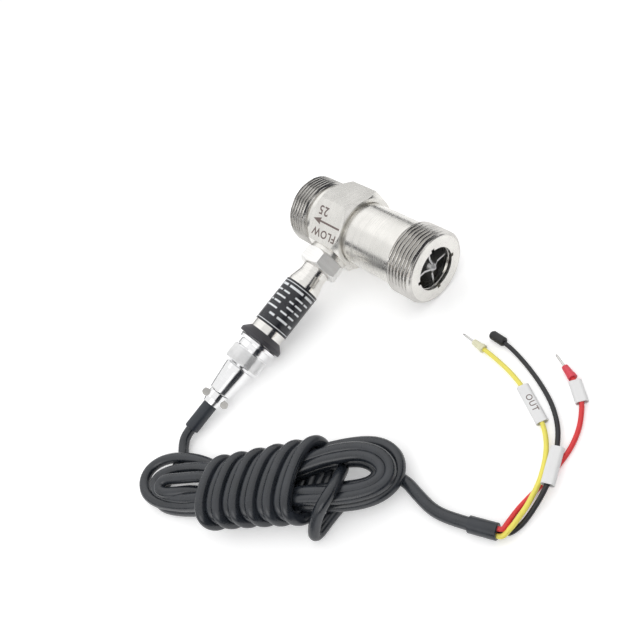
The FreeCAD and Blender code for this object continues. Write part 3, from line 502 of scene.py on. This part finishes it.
def cut_threads():
    """Helical thread turns at both ends, over a copy of the body that makes room for them."""
    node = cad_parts["meter_body"]
    data = node.data.copy()
    data.transform(node.matrix_world)
    work = bmesh.new()
    work.from_mesh(data)
    bmesh.ops.remove_doubles(work, verts=work.verts, dist=1e-6)
    inward = LAID.inverted()
    for vert in work.verts:
        place = inward @ vert.co
        x = place.x / MM
        radius = hypot(place.y, place.z) / MM
        if (47.6 < x or x < -17.8) and radius > 19.0:
            shrink = BARREL_R / radius
            vert.co = LAID @ Vector((place.x, place.y * shrink, place.z * shrink))
    work.to_mesh(data)
    work.free()
    for name in ("custom_normal", "sharp_edge", "sharp_face"):
        if name in data.attributes:
            data.attributes.remove(data.attributes[name])
    for face in data.polygons:
        face.use_smooth = True
    data.set_sharp_from_angle(angle=radians(24))
    body = bpy.data.objects.new("body_casting", data)
    bpy.context.scene.collection.objects.link(body)
    put_on(body, body_steel)
    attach(body, METER)
    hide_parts("meter_body")
    around = 96
    angles = [2 * pi * step / around for step in range(around)]
    for name, inner, face in THREAD_BANDS:
        side = 1 if face > inner else -1
        rows = ceil(abs(face - inner) / THREAD_PITCH * 12)
        rings = []
        for row in range(rows + 1):
            x = inner + (face - inner) * row / rows
            rings.append([around_flow(x, thread_radius(x, angle, inner, face), angle) for angle in angles])
        for x, radius in ((face - side * 0.02, 19.46), (face - side * 0.02, 18.5), (inner, 18.5)):
            rings.append([around_flow(x, radius, angle) for angle in angles])
        points, faces = swept_rings(rings)
        turns = new_piece(name, points, faces, thread_steel, 50.0)


# Marks cut in the block's flat above the pickup

FLAT_TURN = radians(30)
FLAT_OUT = 21.5


def on_flat(along, up, out=0.0):
    """A point of the marked flat: along towards the outlet, up towards the pickup."""
    y = (FLAT_OUT + out) * cos(FLAT_TURN) - up * sin(FLAT_TURN)
    z = (FLAT_OUT + out) * sin(FLAT_TURN) + up * cos(FLAT_TURN)
    return on_meter(-along, y, z)


def flat_mark(name, outline):
    """A thin dark mark with this outline, sunk in the flat but for its top."""
    count = len(outline)
    points = [on_flat(a, u, 0.03) for a, u in outline] + [on_flat(a, u, -0.1) for a, u in outline]
    faces = [tuple(range(count)), tuple(reversed(range(count, 2 * count)))]
    faces += [(i, count + i, count + (i + 1) % count, (i + 1) % count) for i in range(count)]
    new_piece(name, points, faces, mark_dark)


def flat_word(name, word, along, up, height):
    """A generic word or number as a thin mark, its letters' middle at this place."""
    text = bpy.data.curves.new(name, "FONT")
    text.body = word
    text.size = height * 1.38
    text.space_character = 1.12
    text.align_x = "CENTER"
    text.extrude = 0.03
    text.offset = 0.12
    text.resolution_u = 3
    carrier = bpy.data.objects.new(name, text)
    bpy.context.scene.collection.objects.link(carrier)
    graph = bpy.context.evaluated_depsgraph_get()
    data = bpy.data.meshes.new_from_object(carrier.evaluated_get(graph))
    bpy.data.objects.remove(carrier)
    for vert in data.vertices:
        vert.co = on_flat(along + vert.co.x, up - height / 2 + vert.co.y, vert.co.z)
    piece = bpy.data.objects.new(name, data)
    bpy.context.scene.collection.objects.link(piece)
    put_on(piece, mark_dark)
    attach(piece, METER)


def marker_word(name, word, middle, along, size, lift):
    """A generic word lying on a wire's marker, read along the wire."""
    text = bpy.data.curves.new(name, "FONT")
    text.body = word
    text.size = size
    text.space_character = 1.15
    text.align_x = "CENTER"
    text.align_y = "CENTER"
    text.extrude = 0.03
    text.offset = 0.03
    text.resolution_u = 3
    carrier = bpy.data.objects.new(name, text)
    bpy.context.scene.collection.objects.link(carrier)
    graph = bpy.context.evaluated_depsgraph_get()
    data = bpy.data.meshes.new_from_object(carrier.evaluated_get(graph))
    bpy.data.objects.remove(carrier)
    ahead = Vector((cos(along), sin(along), 0.0))
    left = Vector((-sin(along), cos(along), 0.0))
    for vert in data.vertices:
        flat = Vector(middle) + ahead * vert.co.x + left * vert.co.y
        vert.co = (flat + Vector((0, 0, lift + vert.co.z))) * MM
    piece = bpy.data.objects.new(name, data)
    bpy.context.scene.collection.objects.link(piece)
    put_on(piece, mark_dark)
    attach(piece, METER)


def engrave_flat():
    """The flow arrow, the word FLOW and the bore's number, as they lie on the block."""
    arrow = [(-11, 0.0), (-11, 1.1), (5.0, 1.1), (4.4, 2.6), (11, 0.5), (4.4, -1.6), (5.0, 0.0)]
    flat_mark("flow_arrow", arrow)
    flat_word("flow_word", "FLOW", -0.9, 7.2, 4.7)
    flat_word("bore_number", "25", 4.6, -5.4, 5.4)


# Pickup: label and knurl

LABEL_R = 10.8
LABEL_FACES = radians(62)


def label_bar(station, width, start, end):
    """A thin pale bar bent round the label, between two angles in degrees."""
    steps = max(2, ceil(abs(end - start) / 6))
    rings = []
    for step in range(steps + 1):
        angle = LABEL_FACES + radians(start + (end - start) * step / steps)
        rings.append([around_pickup(station - width / 2, LABEL_R - 0.05, angle),
                      around_pickup(station - width / 2, LABEL_R + 0.03, angle),
                      around_pickup(station + width / 2, LABEL_R + 0.03, angle),
                      around_pickup(station + width / 2, LABEL_R - 0.05, angle)])
    return rings


def bars_piece(name, bars):
    """Several label bars as one piece."""
    points = []
    faces = []
    for station, width, start, end in bars:
        rings = label_bar(station, width, start, end)
        base = len(points)
        points += [point for ring in rings for point in ring]
        for row in range(len(rings) - 1):
            for side in range(4):
                beside = (side + 1) % 4
                faces.append((base + row * 4 + side, base + row * 4 + beside, base + row * 4 + 4 + beside,
                              base + row * 4 + 4 + side))
        last = base + (len(rings) - 1) * 4
        faces.append((base + 3, base + 2, base + 1, base))
        faces.append((last, last + 1, last + 2, last + 3))
    return new_piece(name, points, faces, label_ink)


def rule_label():
    """Plain ruled marks in rows, and a pale line near each end of the label."""
    bars = [(48.9, 0.45, -88, 88), (75.7, 0.45, -88, 88)]
    rows = ((51.4, 1.5, ((-78, -38), (-30, 22), (30, 62))),
            (55.4, 1.1, ((-72, -52), (-46, -16), (6, 30), (38, 70))),
            (59.0, 1.1, ((-60, -30), (-24, -8), (8, 52))),
            (62.6, 1.1, ((-66, -44), (-38, -12), (12, 40), (46, 58))),
            (66.4, 1.1, ((-58, -34), (-28, -4), (10, 60))),
            (70.6, 1.4, ((-74, -56), (-48, -8), (2, 22))))
    for station, width, spans in rows:
        bars += [(station, width, start, end) for start, end in spans]
    bars_piece("label_rules", bars)


KNURL_START = 95.8
KNURL_END = 104.4
KNURL_R = 11.0
KNURL_ROWS = 15
KNURL_AROUND = 90
KNURL_TOOTH = 0.42
KNURL_RISE = 0.36


def knurl_tree(material):
    """Small pyramids in staggered rows round an axis, as a node tree with named sizes."""
    tree = bpy.data.node_groups.new("knurl_points", "GeometryNodeTree")
    sockets = {}
    for name, kind in (("Rows", "NodeSocketInt"), ("Around", "NodeSocketInt"),
                       ("Length", "NodeSocketFloat"), ("Radius", "NodeSocketFloat"),
                       ("Tooth", "NodeSocketFloat"), ("Rise", "NodeSocketFloat")):
        sockets[name] = tree.interface.new_socket(name, in_out="INPUT", socket_type=kind)
    tree.interface.new_socket("Geometry", in_out="OUTPUT", socket_type="NodeSocketGeometry")
    nodes = tree.nodes
    links = tree.links
    given = nodes.new("NodeGroupInput")
    shown = nodes.new("NodeGroupOutput")

    def maths(operation, first, second=0.0):
        made = nodes.new("ShaderNodeMath")
        made.operation = operation
        for socket, value in zip(made.inputs, (first, second)):
            if isinstance(value, (int, float)):
                socket.default_value = value
            else:
                links.new(value, socket)
        return made.outputs[0]

    points = nodes.new("GeometryNodePoints")
    links.new(maths("MULTIPLY", given.outputs["Rows"], given.outputs["Around"]), points.inputs["Count"])
    index = nodes.new("GeometryNodeInputIndex").outputs[0]
    row = maths("FLOOR", maths("DIVIDE", index, given.outputs["Around"]))
    step = maths("SUBTRACT", index, maths("MULTIPLY", row, given.outputs["Around"]))
    half = maths("MULTIPLY", maths("MODULO", row, 2.0), 0.5)
    angle = maths("MULTIPLY", maths("DIVIDE", maths("ADD", step, half), given.outputs["Around"]), 2 * pi)
    height = maths("MULTIPLY", maths("DIVIDE", maths("ADD", row, 0.5), given.outputs["Rows"]),
                   given.outputs["Length"])
    place = nodes.new("ShaderNodeCombineXYZ")
    links.new(maths("MULTIPLY", maths("COSINE", angle), given.outputs["Radius"]), place.inputs["X"])
    links.new(maths("MULTIPLY", maths("SINE", angle), given.outputs["Radius"]), place.inputs["Y"])
    links.new(height, place.inputs["Z"])
    links.new(place.outputs[0], points.inputs["Position"])
    tooth = nodes.new("GeometryNodeMeshCone")
    tooth.inputs["Vertices"].default_value = 4
    links.new(given.outputs["Tooth"], tooth.inputs["Radius Bottom"])
    links.new(given.outputs["Rise"], tooth.inputs["Depth"])
    turn = nodes.new("ShaderNodeCombineXYZ")
    turn.inputs["Y"].default_value = pi / 2
    links.new(angle, turn.inputs["Z"])
    copies = nodes.new("GeometryNodeInstanceOnPoints")
    links.new(points.outputs[0], copies.inputs["Points"])
    links.new(tooth.outputs["Mesh"], copies.inputs["Instance"])
    links.new(turn.outputs[0], copies.inputs["Rotation"])
    real = nodes.new("GeometryNodeRealizeInstances")
    links.new(copies.outputs[0], real.inputs[0])
    coat = nodes.new("GeometryNodeSetMaterial")
    coat.inputs["Material"].default_value = material
    links.new(real.outputs[0], coat.inputs["Geometry"])
    links.new(coat.outputs[0], shown.inputs[0])
    return tree, sockets


def knurl_ring():
    """The fine knurl on the coupling ring's band."""
    tree, sockets = knurl_tree(knurl_nickel)
    data = bpy.data.meshes.new("knurl_carrier")
    carrier = bpy.data.objects.new("knurl_carrier", data)
    bpy.context.scene.collection.objects.link(carrier)
    modifier = carrier.modifiers.new("knurl", "NODES")
    modifier.node_group = tree
    sizes = {"Rows": KNURL_ROWS, "Around": KNURL_AROUND, "Length": (KNURL_END - KNURL_START) * MM,
             "Radius": (KNURL_R - 0.03) * MM, "Tooth": KNURL_TOOTH * MM, "Rise": KNURL_RISE * MM}
    for name, value in sizes.items():
        modifier[sockets[name].identifier] = value
    carrier.update_tag()
    graph = bpy.context.evaluated_depsgraph_get()
    knurl = bpy.data.meshes.new_from_object(carrier.evaluated_get(graph))
    carrier.modifiers.clear()
    bpy.data.objects.remove(carrier)
    knurl.transform(LAID @ Matrix.Translation((0, 0, KNURL_START * MM)))
    piece = bpy.data.objects.new("ring_knurl", knurl)
    bpy.context.scene.collection.objects.link(piece)
    put_on(piece, knurl_nickel)
    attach(piece, METER)


# Table and light

TABLE_HALF = 1.5
TABLE_GLOW = 0.3
SCREEN_SIDES = 48
SCREEN_DISTANCE = 1.3
SCREEN_LEAST = 0.19            # sine of the angle that its low side reaches above the table
SCREEN_EXTRA = 0.36            # added to it towards the camera
SURROUND_LIGHT = 0.95
LAMPS = (("key", (-0.5, 0.3, 1.1), 1.6, 1.4), ("fill", (0.55, -0.85, 0.6), 1.8, 0.7))
LAMP_TARGET = Vector((0.04, -0.03, 0.0))


def lay_table():
    """A pale table top, white to the camera and in reflections, that keeps the soft shadows."""
    data = bpy.data.meshes.new("table")
    corners = [(-1, -1), (1, -1), (1, 1), (-1, 1)]
    data.from_pydata([(x * TABLE_HALF, y * TABLE_HALF, 0) for x, y in corners], [], [(0, 1, 2, 3)])
    table = bpy.data.objects.new("table", data)
    bpy.context.scene.collection.objects.link(table)
    made = Finish("table_white")
    made.set(Base_Color=(0.95, 0.95, 0.95, 1.0), Roughness=0.9, Specular_IOR_Level=0.0,
             Emission_Color=(1.0, 1.0, 1.0, 1.0))
    path = made.node("ShaderNodeLightPath")
    shown = made.maths(path.outputs["Is Camera Ray"], path.outputs["Is Glossy Ray"], "MAXIMUM")
    shown = made.maths(shown, path.outputs["Is Transmission Ray"], "MAXIMUM")
    made.feed(made.maths(shown, TABLE_GLOW, "MULTIPLY"), "Emission Strength")
    put_on(table, made.material)


def stand_screen():
    """A dark screen round the table, taller on the camera's side, that the metal reflects."""
    points = []
    for number in range(SCREEN_SIDES):
        angle = 2 * pi * number / SCREEN_SIDES
        rise = SCREEN_LEAST + SCREEN_EXTRA * max(0.0, cos(angle))
        top = SCREEN_DISTANCE * rise / sqrt(1 - rise ** 2)
        foot = Vector((SCREEN_DISTANCE * cos(angle), SCREEN_DISTANCE * sin(angle), 0.0))
        points += [foot, foot + Vector((0.0, 0.0, top))]
    ends = 2 * SCREEN_SIDES
    faces = [(n, n + 1, (n + 3) % ends, (n + 2) % ends) for n in range(0, ends, 2)]
    data = bpy.data.meshes.new("dark_screen")
    data.from_pydata([tuple(point) for point in points], [], faces)
    screen = bpy.data.objects.new("dark_screen", data)
    bpy.context.scene.collection.objects.link(screen)
    screen.visible_camera = False
    made = Finish("screen_cloth")
    made.set(Base_Color=(0.03, 0.032, 0.04, 1.0), Roughness=0.95, Specular_IOR_Level=0.0)
    put_on(screen, made.material)


def light_softly():
    """An even surround, white to the camera and in reflections, and two large lamps."""
    world = bpy.data.worlds.new("surround")
    bpy.context.scene.world = world
    world.use_nodes = True
    nodes = world.node_tree.nodes
    links = world.node_tree.links
    background = nodes["Background"]
    background.inputs["Color"].default_value = (1.0, 1.0, 1.0, 1.0)
    background.inputs["Strength"].default_value = SURROUND_LIGHT
    plain = nodes.new("ShaderNodeBackground")
    plain.inputs["Color"].default_value = (1.0, 1.0, 1.0, 1.0)
    path = nodes.new("ShaderNodeLightPath")
    shown = path.outputs["Is Camera Ray"]
    for ray in ("Is Glossy Ray", "Is Transmission Ray"):
        either = nodes.new("ShaderNodeMath")
        either.operation = "MAXIMUM"
        links.new(shown, either.inputs[0])
        links.new(path.outputs[ray], either.inputs[1])
        shown = either.outputs[0]
    choose = nodes.new("ShaderNodeMixShader")
    links.new(shown, choose.inputs["Fac"])
    links.new(background.outputs[0], choose.inputs[1])
    links.new(plain.outputs[0], choose.inputs[2])
    links.new(choose.outputs[0], nodes["World Output"].inputs["Surface"])
    for name, spot, power, size in LAMPS:
        data = bpy.data.lights.new(name, "AREA")
        data.energy = power
        data.size = size
        lamp = bpy.data.objects.new(name, data)
        lamp.location = spot
        aim = LAMP_TARGET - Vector(spot)
        lamp.rotation_euler = aim.to_track_quat("-Z", "Y").to_euler()
        bpy.context.scene.collection.objects.link(lamp)


place_camera()
lay_cable_and_wires()
cut_threads()
engrave_flat()
marker_word("yellow_marker_word", "OUT", (130.2, 30.6, 0.0), radians(-29.8), 4.2, 3.2)
rule_label()
knurl_ring()
lay_table()
stand_screen()
light_softly()
bpy.context.scene.view_settings.view_transform = "Standard"
